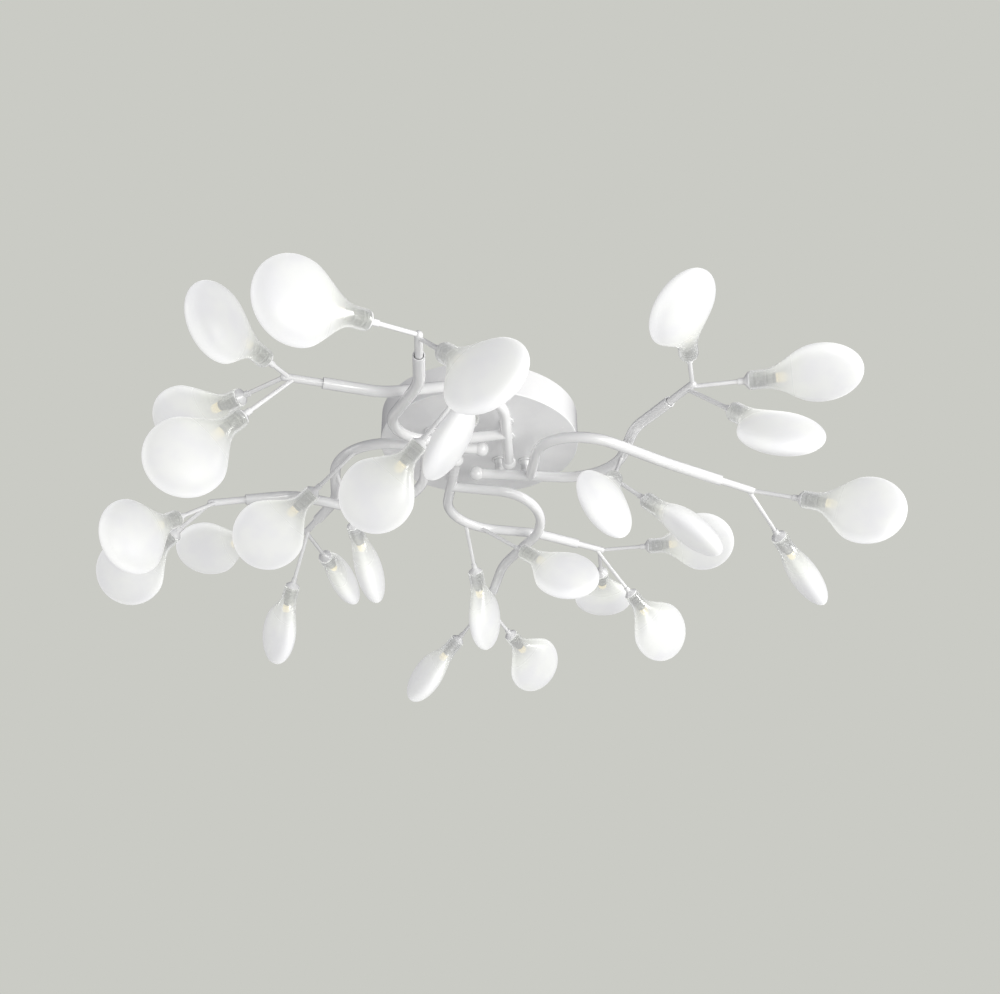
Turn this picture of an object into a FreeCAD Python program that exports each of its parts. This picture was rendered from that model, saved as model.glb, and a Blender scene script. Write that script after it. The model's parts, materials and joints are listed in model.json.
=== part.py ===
import FreeCAD
import Part
import Sketcher
import math
import os

# Branch chandelier for a ceiling: four alike branch assemblies on a round canopy,
# each with seven frosted leaf shades. Millimetres, +Z up, origin on the ceiling
# at the middle of the canopy. Each branch is drawn in its own frame, where
# "out" runs along the branch, "side" to its left and "drop" below the canopy.

SIZES = [
    ("canopy_diameter", 200), ("canopy_height", 32), ("canopy_wall", 1.2),
    ("canopy_plate", 1.5), ("canopy_edge_radius", 1.0),
    # ceiling strap and what fixes the canopy to it
    ("strap_width", 26), ("strap_thickness", 2), ("strap_tab_width", 16),
    ("strap_tab_height", 16), ("strap_wall_gap", 0.7),
    ("fixing_spacing", 120), ("fixing_slot_length", 14), ("fixing_slot_width", 5.2),
    ("side_screw_diameter", 4), ("side_screw_length", 8), ("side_screw_head", 7.5),
    ("side_screw_head_height", 2.4), ("side_screw_drop", 10), ("screw_clearance", 0.1),
    # what drives the lamps, inside the canopy
    ("driver_length", 84), ("driver_width", 36), ("driver_height", 16),
    ("driver_corner", 3), ("driver_screw_diameter", 3), ("driver_screw_head", 5.6),
    ("driver_screw_spacing", 22), ("driver_screw_length", 8),
    ("block_length", 24), ("block_width", 14), ("block_height", 12),
    ("block_step", 4), ("block_ways", 3), ("block_screw_diameter", 3.4), ("block_gap", 3),
    # posts that carry a branch under the canopy, and their nuts
    ("post_diameter", 10), ("post_neck_diameter", 8), ("post_neck_length", 3),
    ("post_spigot_diameter", 6), ("post_spigot_length", 7), ("post_bore", 3.6),
    ("post_inner_out", 20), ("post_outer_out", 47), ("nut_across_flats", 10),
    ("nut_height", 4), ("thread_clearance", 0.1),
    # main and side tubes
    ("tube_diameter", 10.5), ("tube_wall", 1.0), ("ball_diameter", 14.5),
    ("tube_side", 28), ("tube_drop", 18), ("ball_back", 3), ("joint_out", 52),
    ("main_bend_radius", 58), ("main_knee_radius", 70),
    ("side_bend_radius", 50), ("side_sweep_radius", 46), ("side_knee_radius", 90),
    # thin outlet tubes pushed into the open tube ends
    ("outlet_diameter", 7), ("outlet_wall", 0.8), ("outlet_show", 34),
    ("outlet_insert", 12), ("outlet_collar", 5), ("outlet_fit", 0.1),
    # stems
    ("stem_diameter", 4), ("stem_wall", 0.7), ("stem_insert", 7), ("stem_fit", 0.05),
    # leaf shades, measured from the mouth of the neck
    ("leaf_width", 71), ("leaf_length", 72), ("leaf_thickness", 30),
    ("leaf_reach", 60), ("leaf_wall", 1.8), ("neck_diameter", 17),
    ("neck_length", 13), ("neck_gap", 0.3),
    # lamp holder and capsule
    ("cap_diameter", 15.4), ("cap_sleeve_diameter", 5.8), ("cap_sleeve_length", 5),
    ("cap_cone_length", 4), ("cap_lip", 0.9), ("cap_spigot", 3.5),
    ("holder_diameter", 11.4), ("holder_length", 11), ("holder_groove", 0.9),
    ("holder_groove_pitch", 2.2), ("holder_grooves", 2), ("holder_ring", 1.6),
    ("grip_ring_height", 1.8), ("grip_ring_depth", 0.6), ("grip_ring_foot", 1.6),
    ("grip_fit", 0.05),
    ("wire_bore", 2.4), ("capsule_diameter", 9), ("capsule_length", 19),
    ("capsule_base_diameter", 7), ("capsule_base_length", 3), ("pin_diameter", 0.8),
    ("pin_length", 4), ("pin_spacing", 4), ("pin_fit", 0.1),
]

# Quarter turns about the lamp's axis, and each branch's own small turn on its posts.
BRANCHES = [("right", 0, 5), ("far", 90, 8), ("left", 180, 7), ("near", 270, -3)]

# Corners of the bent tubes on the right, far, left and near branch. They are bent by
# hand over the same formers, so no two branches are quite alike.
CORNERS = [
    ("main_bend_out", (138, 141, 142, 141)),
    ("main_knee_out", (140, 139, 140, 139)),
    ("main_knee_side", (-79, -77, -82, -78)),
    ("main_knee_drop", (22, 22, 25, 25)),
    ("main_tip_out", (176, 169, 174, 172)),
    ("main_tip_side", (-161, -160, -158, -161)),
    ("main_tip_drop", (26, 23, 27, 28)),
    ("side_bend_out", (52, 46, 48, 48)),
    ("side_bend_side", (-77, -76, -77, -77)),
    ("side_bend_drop", (28, 25, 24, 26)),
    ("side_sweep_out", (112, 113, 114, 114)),
    ("side_sweep_side", (-75, -74, -76, -74)),
    ("side_sweep_drop", (35, 37, 38, 35)),
    ("side_knee_out", (176, 177, 181, 178)),
    ("side_knee_side", (-50, -45, -46, -41)),
    ("side_knee_drop", (42, 46, 42, 44)),
    ("side_tip_out", (264, 267, 261, 263)),
    ("side_tip_side", (-33, -39, -37, -31)),
    ("side_tip_drop", (59, 59, 61, 56)),
]

# What each of the seven stems of a branch is welded to. "main_tip" and "side_tip"
# starts count back from the outlet's end, "main_bend" starts count degrees round
# the tube's bend.
STEM_ROOTS = ["main_tip", "main_tip", "main_tip", "main_bend", "main_bend",
              "side_tip", "side_tip"]

# Start of each stem, how far from there to the mouth of its shade, which way it
# points (degrees round the lamp), how far it dips, and how far the shade is turned.
STEM_SIZES = ("start", "length", "heading", "dip", "roll")
STEMS = {
    "right": [(0, 43, -108, -3, -41), (5, 53, -22, 4, 7), (9, 70, -57, 45, -28),
              (47, 64, -31, 45, 0), (83, 57, -117, 51, 66), (0, 51, -29, 23, -86),
              (5, 70, 48, 22, -63)],
    "far": [(0, 55, -111, 1, 40), (4, 52, -15, 7, -1), (9, 72, -54, 33, 62),
            (54, 62, -21, 40, 82), (72, 65, -118, 37, -57), (0, 58, -40, 20, 52),
            (5, 60, 42, 35, 64)],
    "left": [(0, 63, -109, 1, -64), (5, 57, -18, 6, -26), (9, 73, -73, 41, -78),
             (36, 64, -32, 37, -44), (84, 71, -110, 28, -73), (0, 50, -35, 29, -49),
             (5, 61, 52, 40, 87)],
    "near": [(0, 50, -117, 5, -29), (5, 34, -25, 2, 89), (9, 62, -72, 49, -76),
             (40, 56, -22, 51, -44), (65, 65, -119, 41, -51), (0, 48, -49, 10, -75),
             (5, 41, 51, 44, -73)],
}

# Where the shade's rings of flat faces lie: shares of the shoulder's height, then
# angles up the round body, which the shoulder meets at LEAF_JOIN degrees.
LEAF_JOIN = -18
OUTER_SIDES = 20
OUTER_SHOULDER = (0.33, 0.72)
OUTER_ANGLES = (-3, 26, 50, 70, 86)
INNER_SIDES = 12
INNER_ANGLES = (-18, 20, 52, 80)

X_AXIS = FreeCAD.Vector(1, 0, 0)
Y_AXIS = FreeCAD.Vector(0, 1, 0)
Z_AXIS = FreeCAD.Vector(0, 0, 1)
ORIGIN = FreeCAD.Vector(0, 0, 0)

doc = FreeCAD.newDocument("branch_chandelier")
sheet = doc.addObject("Spreadsheet::Sheet", "sizes")
subparts = []


def write_sheet():
    names = [name for name, _, _ in BRANCHES]
    rows = list(SIZES)
    rows += [(f"turn_{name}", turn) for name, _, turn in BRANCHES]
    for alias, values in CORNERS:
        rows += [(f"{alias}_{name}", value) for name, value in zip(names, values)]
    for name, stems in STEMS.items():
        for number, values in enumerate(stems, 1):
            rows += [(f"stem_{what}_{name}_{number}", value)
                     for what, value in zip(STEM_SIZES, values)]
    for row, (alias, value) in enumerate(rows, 1):
        sheet.set(f"A{row}", alias)
        sheet.set(f"B{row}", str(value))
        sheet.setAlias(f"B{row}", alias)
    doc.recompute()


def size(alias):
    return float(sheet.get(alias))


def keep(thing, label):
    thing.Label = label
    subparts.append(thing)
    return thing


def shape_feature(label, shape, placement=None):
    feature = doc.addObject("Part::Feature", label)
    feature.Shape = shape
    if placement:
        feature.Placement = placement
    return keep(feature, label)


# ---- helpers for bodies made of sketches

def plane_of(body, role):
    for feature in body.Origin.OriginFeatures:
        if feature.Role == role:
            return feature
    raise ValueError(role)


def new_sketch(body, name, role, offset=None):
    sketch = body.newObject("Sketcher::SketchObject", name)
    sketch.AttachmentSupport = [(plane_of(body, role), "")]
    sketch.MapMode = "FlatFace"
    if offset:
        sketch.setExpression("AttachmentOffset.Base.z", offset)
    return sketch


def bound_circle(sketch, diameter, across="0", up="0"):
    """A circle with its diameter and centre tied to the sheet."""
    at = sketch.addGeometry(Part.Circle(ORIGIN, Z_AXIS, 5), False)
    for kind, value in (("DistanceX", across), ("DistanceY", up)):
        row = sketch.addConstraint(Sketcher.Constraint(kind, -1, 1, at, 3, 1.0))
        sketch.setExpression(f"Constraints[{row}]", value)
    row = sketch.addConstraint(Sketcher.Constraint("Diameter", at, 10.0))
    sketch.setExpression(f"Constraints[{row}]", diameter)


def bound_outline(sketch, corners):
    """A closed outline of straight lines through corners given as sheet expressions."""
    count = len(corners)
    for i in range(count):
        a = 2.0 * math.pi * i / count
        b = 2.0 * math.pi * (i + 1) / count
        start = FreeCAD.Vector(math.cos(a), math.sin(a), 0)
        end = FreeCAD.Vector(math.cos(b), math.sin(b), 0)
        sketch.addGeometry(Part.LineSegment(start, end), False)
    first = sketch.GeometryCount - count
    for i in range(count):
        line = first + i
        after = first + (i + 1) % count
        sketch.addConstraint(Sketcher.Constraint("Coincident", line, 2, after, 1))
    for i, (across, up) in enumerate(corners):
        for kind, value in (("DistanceX", across), ("DistanceY", up)):
            row = sketch.addConstraint(
                Sketcher.Constraint(kind, -1, 1, first + i, 1, 1.0))
            sketch.setExpression(f"Constraints[{row}]", value)


def bound_box(sketch, left, right, low, high):
    bound_outline(sketch, [(left, low), (right, low), (right, high), (left, high)])


def pad(body, sketch, name, length, backwards=False, both_ways=False):
    feature = body.newObject("PartDesign::Pad", name)
    feature.Profile = sketch
    feature.setExpression("Length", length)
    feature.Reversed = backwards
    feature.Midplane = both_ways
    doc.recompute()
    return feature


def pocket(body, sketch, name, length=None, backwards=False, both_ways=False):
    before = body.Shape.Volume
    feature = body.newObject("PartDesign::Pocket", name)
    feature.Profile = sketch
    feature.Reversed = backwards
    feature.Midplane = both_ways
    if length:
        feature.setExpression("Length", length)
    else:
        feature.Type = "ThroughAll"
    doc.recompute()
    if body.Shape.Volume > before - 0.01:
        raise ValueError(f"{name} cuts nothing")
    return feature


def turned(body, sketch, name, kind="PartDesign::Revolution"):
    feature = body.newObject(kind, name)
    feature.Profile = sketch
    feature.ReferenceAxis = (sketch, ["V_Axis"])
    feature.Angle = 360
    doc.recompute()
    return feature


# ---- canopy, strap and what sits inside

def post_places():
    """Out distances of the two posts under each branch."""
    return (size("post_inner_out"), size("post_outer_out"))


def make_canopy():
    body = doc.addObject("PartDesign::Body", "canopy_shell")
    profile = new_sketch(body, "canopy_profile", "XZ_Plane")
    wall = "sizes.canopy_diameter / 2 - sizes.canopy_wall"
    floor = "-sizes.canopy_height + sizes.canopy_plate"
    bound_outline(profile, [
        ("0", "-sizes.canopy_height"), ("sizes.canopy_diameter / 2", "-sizes.canopy_height"),
        ("sizes.canopy_diameter / 2", "0"), (wall, "0"), (wall, floor), ("0", floor)])
    spun = turned(body, profile, "canopy_turned")
    edge = outer_edge(spun.Shape, size("canopy_diameter") / 2, -size("canopy_height"))
    rounded = body.newObject("PartDesign::Fillet", "canopy_edge")
    rounded.Base = (spun, [edge])
    rounded.setExpression("Radius", "sizes.canopy_edge_radius")
    doc.recompute()
    screws = new_sketch(body, "side_screw_holes", "XZ_Plane")
    bound_circle(screws, "sizes.side_screw_diameter + 2 * sizes.screw_clearance",
                 "0", "-sizes.side_screw_drop")
    pocket(body, screws, "side_screw_hole", "sizes.canopy_diameter + 10", both_ways=True)
    return keep(body, "canopy_shell")


def outer_edge(shape, radius, height):
    for i, edge in enumerate(shape.Edges, 1):
        box = edge.BoundBox
        if abs(box.ZMin - height) < 1e-4 and abs(box.ZMax - height) < 1e-4:
            if abs(box.XMax - radius) < 1e-4:
                return f"Edge{i}"
    raise ValueError("no outer edge")


def make_strap():
    body = doc.addObject("PartDesign::Body", "ceiling_strap")
    reach = "(sizes.canopy_diameter / 2 - sizes.canopy_wall - sizes.strap_wall_gap)"
    half = "sizes.strap_width / 2"
    tab = "sizes.strap_tab_width / 2"
    neck = f"({reach} - sizes.strap_tab_width / 2)"
    flat = new_sketch(body, "strap_outline", "XY_Plane")
    bound_outline(flat, [
        (f"-{tab}", f"-{reach}"), (tab, f"-{reach}"), (half, f"-{neck}"), (half, neck),
        (tab, reach), (f"-{tab}", reach), (f"-{half}", neck), (f"-{half}", f"-{neck}")])
    pad(body, flat, "strap_flat", "sizes.strap_thickness", backwards=True)
    for name, sign in (("front", "-"), ("back", "")):
        ends = new_sketch(body, f"tab_{name}_outline", "XY_Plane")
        inner = f"{sign}({reach} - sizes.strap_thickness)"
        outer = f"{sign}{reach}"
        low, high = (outer, inner) if sign else (inner, outer)
        bound_box(ends, f"-{tab}", tab, low, high)
        pad(body, ends, f"tab_{name}", "sizes.strap_tab_height", backwards=True)
    screws = new_sketch(body, "tab_holes", "XZ_Plane")
    bound_circle(screws, "sizes.side_screw_diameter", "0", "-sizes.side_screw_drop")
    pocket(body, screws, "tab_hole", f"2 * {reach} + 10", both_ways=True)
    slots = new_sketch(body, "ceiling_slots", "XY_Plane")
    for sign in ("-", ""):
        bound_slot(slots, sign)
    pocket(body, slots, "ceiling_slot", "sizes.strap_thickness * 3", both_ways=True)
    cone = new_sketch(body, "driver_screw_seat_holes", "XY_Plane")
    for sign in ("-", ""):
        bound_circle(cone, "sizes.driver_screw_diameter + 2 * sizes.screw_clearance",
                     "0", f"{sign}sizes.driver_screw_spacing / 2")
    holes = pocket(body, cone, "driver_screw_hole", "sizes.strap_thickness * 3", both_ways=True)
    rims = []
    for i, edge in enumerate(holes.Shape.Edges, 1):
        box = edge.BoundBox
        small = box.XLength < size("driver_screw_diameter") * 1.5
        if small and abs(box.ZMax) < 1e-4 and abs(box.ZMin) < 1e-4:
            rims.append(f"Edge{i}")
    seat = body.newObject("PartDesign::Chamfer", "driver_screw_seat")
    seat.Base = (holes, rims)
    seat.setExpression(
        "Size", "(sizes.driver_screw_head - sizes.driver_screw_diameter) / 2")
    doc.recompute()
    return keep(body, "ceiling_strap")


def bound_slot(sketch, sign):
    """A slot that runs up the sketch, on its upper or lower fixing place."""
    radius = size("fixing_slot_width") / 2
    run = (size("fixing_slot_length") - size("fixing_slot_width")) / 2
    half = size("fixing_spacing") / 2
    middle = -half if sign else half
    high = FreeCAD.Vector(0, middle + run, 0)
    low = FreeCAD.Vector(0, middle - run, 0)
    reach = FreeCAD.Vector(radius, 0, 0)
    top = sketch.addGeometry(
        Part.ArcOfCircle(Part.Circle(high, Z_AXIS, radius), 0, math.pi), False)
    left = sketch.addGeometry(Part.LineSegment(high - reach, low - reach), False)
    bottom = sketch.addGeometry(
        Part.ArcOfCircle(Part.Circle(low, Z_AXIS, radius), math.pi, 2 * math.pi), False)
    right = sketch.addGeometry(Part.LineSegment(low + reach, high + reach), False)
    loop = (top, left, bottom, right)
    for one, after in zip(loop, loop[1:] + loop[:1]):
        sketch.addConstraint(Sketcher.Constraint("Tangent", one, 2, after, 1))
    row = sketch.addConstraint(Sketcher.Constraint("Radius", top, radius))
    sketch.setExpression(f"Constraints[{row}]", "sizes.fixing_slot_width / 2")
    straight = "(sizes.fixing_slot_length - sizes.fixing_slot_width) / 2"
    for arc, point, side in ((top, high, "+"), (bottom, low, "-")):
        sketch.addConstraint(Sketcher.Constraint("PointOnObject", arc, 3, -2))
        row = sketch.addConstraint(
            Sketcher.Constraint("DistanceY", -1, 1, arc, 3, point.y))
        sketch.setExpression(f"Constraints[{row}]",
                             f"{sign}sizes.fixing_spacing / 2 {side} {straight}")


def make_driver():
    body = doc.addObject("PartDesign::Body", "led_driver")
    outline = new_sketch(body, "driver_outline", "XY_Plane", "-sizes.strap_thickness")
    long_half = "sizes.driver_length / 2"
    wide_half = "sizes.driver_width / 2"
    bound_box(outline, f"-{long_half}", long_half, f"-{wide_half}", wide_half)
    block = pad(body, outline, "driver_block", "sizes.driver_height", backwards=True)
    upright = [f"Edge{i}" for i, edge in enumerate(block.Shape.Edges, 1)
               if edge.BoundBox.ZLength > size("driver_height") / 2]
    rounded = body.newObject("PartDesign::Fillet", "driver_corners")
    rounded.Base = (block, upright)
    rounded.setExpression("Radius", "sizes.driver_corner")
    doc.recompute()
    screws = new_sketch(body, "driver_pilot_holes", "XY_Plane", "-sizes.strap_thickness")
    for sign in ("-", ""):
        bound_circle(screws, "sizes.driver_screw_diameter + 2 * sizes.screw_clearance",
                     "0", f"{sign}sizes.driver_screw_spacing / 2")
    pocket(body, screws, "driver_pilot_hole", "sizes.driver_screw_length")
    return keep(body, "led_driver")


def make_terminal_block():
    body = doc.addObject("PartDesign::Body", "terminal_block")
    near = "(sizes.driver_width / 2 + sizes.block_gap)"
    low = "-sizes.strap_thickness - sizes.block_height"
    step = "-sizes.strap_thickness - sizes.block_height + sizes.block_step"
    side = new_sketch(body, "block_side", "YZ_Plane")
    quarter = "sizes.block_width / 4"
    bound_outline(side, [
        (near, "-sizes.strap_thickness"), (near, step), (f"{near} + {quarter}", step),
        (f"{near} + {quarter}", low), (f"{near} + 3 * {quarter}", low),
        (f"{near} + 3 * {quarter}", step), (f"{near} + sizes.block_width", step),
        (f"{near} + sizes.block_width", "-sizes.strap_thickness")])
    pad(body, side, "block_body", "sizes.block_length", both_ways=True)
    ways = int(size("block_ways"))
    wells = new_sketch(body, "block_screw_wells", "XY_Plane", low)
    for i in range(ways):
        across = f"sizes.block_length * {i + 0.5 - ways / 2} / sizes.block_ways"
        bound_circle(wells, "sizes.block_screw_diameter", across,
                     f"{near} + sizes.block_width / 2")
    pocket(body, wells, "block_screw_well", "sizes.block_height / 2", backwards=True)
    return keep(body, "terminal_block")


def lathe(profile):
    """Solid turned about Z from (radius, height) corners."""
    points = [FreeCAD.Vector(radius, 0, height) for radius, height in profile]
    face = Part.Face(Part.makePolygon(points + points[:1]))
    return face.revolve(ORIGIN, Z_AXIS, 360)


def make_screws():
    shank = size("side_screw_diameter") / 2 - size("screw_clearance") / 2
    head = size("side_screw_head") / 2
    tall = size("side_screw_head_height")
    screw = lathe([(0, -size("side_screw_length")), (shank, -size("side_screw_length")),
                   (shank, 0), (head, 0), (head, tall * 0.6), (head * 0.7, tall),
                   (0, tall)])
    slot = Part.makeBox(head * 2, tall / 3, tall / 2,
                        FreeCAD.Vector(-head, -tall / 6, tall * 0.6))
    screw = screw.cut(slot)
    solids = []
    for turn in (90, -90):
        one = screw.copy()
        tilt = FreeCAD.Rotation(X_AXIS, -turn)
        seat = FreeCAD.Vector(0, math.copysign(size("canopy_diameter") / 2, turn),
                              -size("side_screw_drop"))
        one.Placement = FreeCAD.Placement(seat, tilt)
        solids.append(one)
    shape_feature("canopy_screws", Part.makeCompound(solids))
    slim = size("driver_screw_diameter") / 2
    wide = size("driver_screw_head") / 2 - size("screw_clearance")
    cone = wide - slim
    screw = lathe([(0, 0), (wide, 0), (slim, -cone),
                   (slim, -size("driver_screw_length") - size("strap_thickness") / 2),
                   (0, -size("driver_screw_length") - size("strap_thickness") / 2)])
    solids = []
    for sign in (-1, 1):
        one = screw.copy()
        one.translate(FreeCAD.Vector(0, sign * size("driver_screw_spacing") / 2, 0))
        solids.append(one)
    shape_feature("driver_screws", Part.makeCompound(solids))


# ---- one branch, in its own frame

def corner(which, name):
    """A corner of a bent tube, from its out, side and drop in the sheet."""
    return FreeCAD.Vector(size(f"{which}_out_{name}"), size(f"{which}_side_{name}"),
                          -size(f"{which}_drop_{name}"))


def on_main(out):
    """A point on the first straight run of a main tube."""
    return FreeCAD.Vector(out, size("tube_side"), -size("tube_drop"))


def rod(start, end, radius):
    along = end - start
    return Part.makeCylinder(radius, along.Length, start, along)


def bend_of(points, i, radius):
    """Centre, way in, way out, axis and turn of the arc that rounds corner i."""
    back = (points[i - 1] - points[i]).normalize()
    ahead = (points[i + 1] - points[i]).normalize()
    half = back.getAngle(ahead) / 2
    centre = points[i] + (back + ahead).normalize() * (radius / math.sin(half))
    reach = radius / math.tan(half)
    return (centre, points[i] + back * reach, points[i] + ahead * reach,
            ahead.cross(back), math.pi - 2 * half)


def bent_rod(points, radii, radius):
    """Round rod in pieces: a cylinder for each straight run, a torus part for each bend."""
    pieces = []
    start = points[0]
    for i, bend in enumerate(radii, 1):
        centre, enter, leave, axis, turn = bend_of(points, i, bend)
        pieces.append(rod(start, enter, radius))
        ring = Part.Wire([Part.Circle(enter, enter - start, radius).toShape()])
        pieces.append(Part.Face(ring).revolve(centre, axis, math.degrees(turn)))
        start = leave
    pieces.append(rod(start, points[-1], radius))
    return pieces


def bent_tube(points, radii, radius, bore):
    outer = bent_rod(points, radii, radius)
    inner = bent_rod(points, radii, bore)
    pieces = [full.cut(hollow) for full, hollow in zip(outer, inner)]
    tube = pieces[0].fuse(pieces[1:]).removeSplitter()
    length = sum(piece.Volume for piece in outer) / (math.pi * radius ** 2)
    check_volume(tube, math.pi * (radius ** 2 - bore ** 2) * length, 0.01)
    return tube


def check_volume(solid, expected, share):
    if len(solid.Solids) != 1 or abs(solid.Volume - expected) > share * expected:
        raise ValueError(f"volume {solid.Volume:.0f} where {expected:.0f} is expected")


def back_from(points, distance):
    """Point on the last run of a route, counted back from its end."""
    along = (points[-1] - points[-2]).normalize()
    return points[-1] - along * distance


def main_route(name):
    points = [on_main(-size("ball_back")), on_main(size(f"main_bend_out_{name}")),
              corner("main_knee", name), corner("main_tip", name)]
    return points, (size("main_bend_radius"), size("main_knee_radius"))


def side_route(name):
    points = [on_main(size("joint_out")), corner("side_bend", name),
              corner("side_sweep", name), corner("side_knee", name),
              corner("side_tip", name)]
    radii = (size("side_bend_radius"), size("side_sweep_radius"), size("side_knee_radius"))
    return points, radii


def tube_end(points):
    """The same route, ended where the thin outlet tube comes out."""
    return points[:-1] + [back_from(points, size("outlet_show"))]


def outlet_tube(points):
    """Thin tube with a round closed end, seated by a collar in the fat one."""
    radius = size("outlet_diameter") / 2
    bore = radius - size("outlet_wall")
    seat = size("tube_diameter") / 2 - size("tube_wall") - size("outlet_fit")
    inner = back_from(points, size("outlet_show") + size("outlet_insert"))
    collar_end = back_from(
        points, size("outlet_show") + size("outlet_insert") - size("outlet_collar"))
    solid = rod(inner, points[-1], radius)
    solid = solid.fuse(Part.makeSphere(radius, points[-1]))
    solid = solid.fuse(rod(inner, collar_end, seat))
    return solid.removeSplitter(), rod(inner, points[-1], bore)


def heading_vector(heading, dip):
    flat = math.cos(math.radians(dip))
    return FreeCAD.Vector(flat * math.cos(math.radians(heading)),
                          flat * math.sin(math.radians(heading)),
                          -math.sin(math.radians(dip)))


def stem_start(name, root, start):
    """Where a stem's axis leaves the middle of the tube that it is welded to."""
    if root == "main_tip":
        return back_from(main_route(name)[0], start)
    if root == "side_tip":
        return back_from(side_route(name)[0], start)
    points, radii = main_route(name)
    centre, enter, _, axis, _ = bend_of(points, 1, radii[0])
    return centre + FreeCAD.Rotation(axis, start).multVec(enter - centre)


def leaf_lies(name):
    """(root, start point, direction, mouth point) of the seven leaves of a branch."""
    lies = []
    for number, root in enumerate(STEM_ROOTS, 1):
        about = {what: size(f"stem_{what}_{name}_{number}") for what in STEM_SIZES}
        start = stem_start(name, root, about["start"])
        way = heading_vector(about["heading"], about["dip"])
        lies.append((root, start, way, start + way * about["length"]))
    return lies


def post_rod(out, radius):
    return Part.makeCylinder(radius, size("tube_drop") + size("canopy_plate"), on_main(out))


def branch_shapes(name):
    """Shapes of one branch's tubes and stems, in the branch's frame."""
    radius = size("tube_diameter") / 2
    bore = radius - size("tube_wall")
    main_points, main_radii = main_route(name)
    side_points, side_radii = side_route(name)
    main_run = rod(main_points[0], main_points[1], radius)
    side_bore = rod(side_points[0], side_points[1], bore)
    main_tip, main_tip_bore = outlet_tube(main_points)
    side_tip, side_tip_bore = outlet_tube(side_points)
    carrier = {"main_tip": main_tip, "side_tip": side_tip,
               "main_bend": bent_rod(tube_end(main_points), main_radii, radius)}

    stems = []
    ways = {"main_tip": [main_tip_bore], "side_tip": [side_tip_bore],
            "main_bend": [side_bore]}
    thick = size("stem_diameter") / 2
    thin = thick - size("stem_wall")
    for root, start, way, mouth in leaf_lies(name):
        end = mouth - way * cap_seat_depth()
        stem = rod(start, end, thick).cut(carrier[root]).cut(rod(start, end, thin))
        stems.append(stem)
        ways[root].append(rod(start, start + way * size("outlet_diameter"), thin))
    for out in post_places():
        ways["main_bend"].append(post_rod(out, size("post_bore") / 2))

    main_pipe = bent_tube(tube_end(main_points), main_radii, radius, bore)
    ball = Part.makeSphere(size("ball_diameter") / 2, main_points[0])
    ball = ball.cut([rod(main_points[0], main_points[1], bore), main_pipe])
    main_tube = main_pipe.fuse(ball).removeSplitter().cut(ways["main_bend"])
    check_volume(main_tube, main_pipe.Volume + ball.Volume, 0.03)
    side_pipe = bent_tube(tube_end(side_points), side_radii, radius, bore)
    side_tube = side_pipe.cut(main_run)
    check_volume(side_tube, side_pipe.Volume, 0.06)
    outlets = [main_tip.cut(ways["main_tip"]), side_tip.cut(ways["side_tip"])]
    posts = [branch_post(out).cut(main_run) for out in post_places()]
    return main_tube, side_tube, outlets, stems, posts


def branch_post(out):
    """Turned post: barrel with a waist, spigot through the canopy, bore for wires."""
    barrel = size("post_diameter") / 2
    waist = size("post_neck_diameter") / 2
    spigot = size("post_spigot_diameter") / 2
    bore = size("post_bore") / 2
    low = -size("tube_drop")
    neck = -size("post_neck_length")
    top = size("canopy_plate") + size("post_spigot_length")
    post = lathe([(bore, low), (waist, low), (waist, 2 * neck), (barrel, neck),
                  (barrel, 0), (spigot, 0), (spigot, top), (bore, top)])
    post.translate(FreeCAD.Vector(out, size("tube_side"), 0))
    return post


def post_nut(out):
    radius = size("nut_across_flats") / math.sqrt(3)
    corners = [FreeCAD.Vector(radius * math.cos(math.radians(60 * i)),
                              radius * math.sin(math.radians(60 * i)), 0) for i in range(6)]
    block = Part.Face(Part.makePolygon(corners + corners[:1])).extrude(
        Z_AXIS * size("nut_height"))
    hole = Part.makeCylinder(
        size("post_spigot_diameter") / 2 + size("thread_clearance"), size("nut_height"))
    nut = block.cut(hole)
    nut.translate(FreeCAD.Vector(out, size("tube_side"), size("canopy_plate")))
    return nut


def branch_placement(quarter, turn):
    """Places a branch drawn in its own frame under the canopy."""
    middle = FreeCAD.Vector(sum(post_places()) / 2, size("tube_side"), 0)
    own = FreeCAD.Placement(ORIGIN, FreeCAD.Rotation(Z_AXIS, turn), middle)
    under = FreeCAD.Placement(FreeCAD.Vector(0, 0, -size("canopy_height")),
                              FreeCAD.Rotation(Z_AXIS, quarter))
    return under.multiply(own)


# ---- leaf shade, lamp holder and capsule, drawn on the Z axis with the mouth at 0

def leaf_rings(wall, shoulder, angles, mouth):
    """(height, half width, half thickness) from the neck's mouth to the leaf's end."""
    neck = size("neck_diameter") / 2 - wall
    wide = size("leaf_width") / 2 - wall
    thick = size("leaf_thickness") / 2 - wall
    tall = size("leaf_length") / 2 - wall
    base = size("neck_length")
    join = math.radians(LEAF_JOIN)
    join_height = size("leaf_reach") + tall * math.sin(join)
    rings = [(mouth, neck, neck), (base, neck, neck)]
    for share in shoulder:
        swell = share ** 2 * (3 - 2 * share)
        rings.append((base + (join_height - base) * share,
                      neck + (wide * math.cos(join) - neck) * swell,
                      neck + (thick * math.cos(join) - neck) * swell))
    for angle in angles:
        turn = math.radians(angle)
        rings.append((size("leaf_reach") + tall * math.sin(turn),
                      wide * math.cos(turn), thick * math.cos(turn)))
    return rings


def ring_points(ring, sides):
    height, wide, thick = ring
    turns = [2 * math.pi * i / sides for i in range(sides)]
    return [FreeCAD.Vector(wide * math.cos(a), thick * math.sin(a), height) for a in turns]


def flat_face(points):
    return Part.Face(Part.makePolygon(points + points[:1]))


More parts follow.
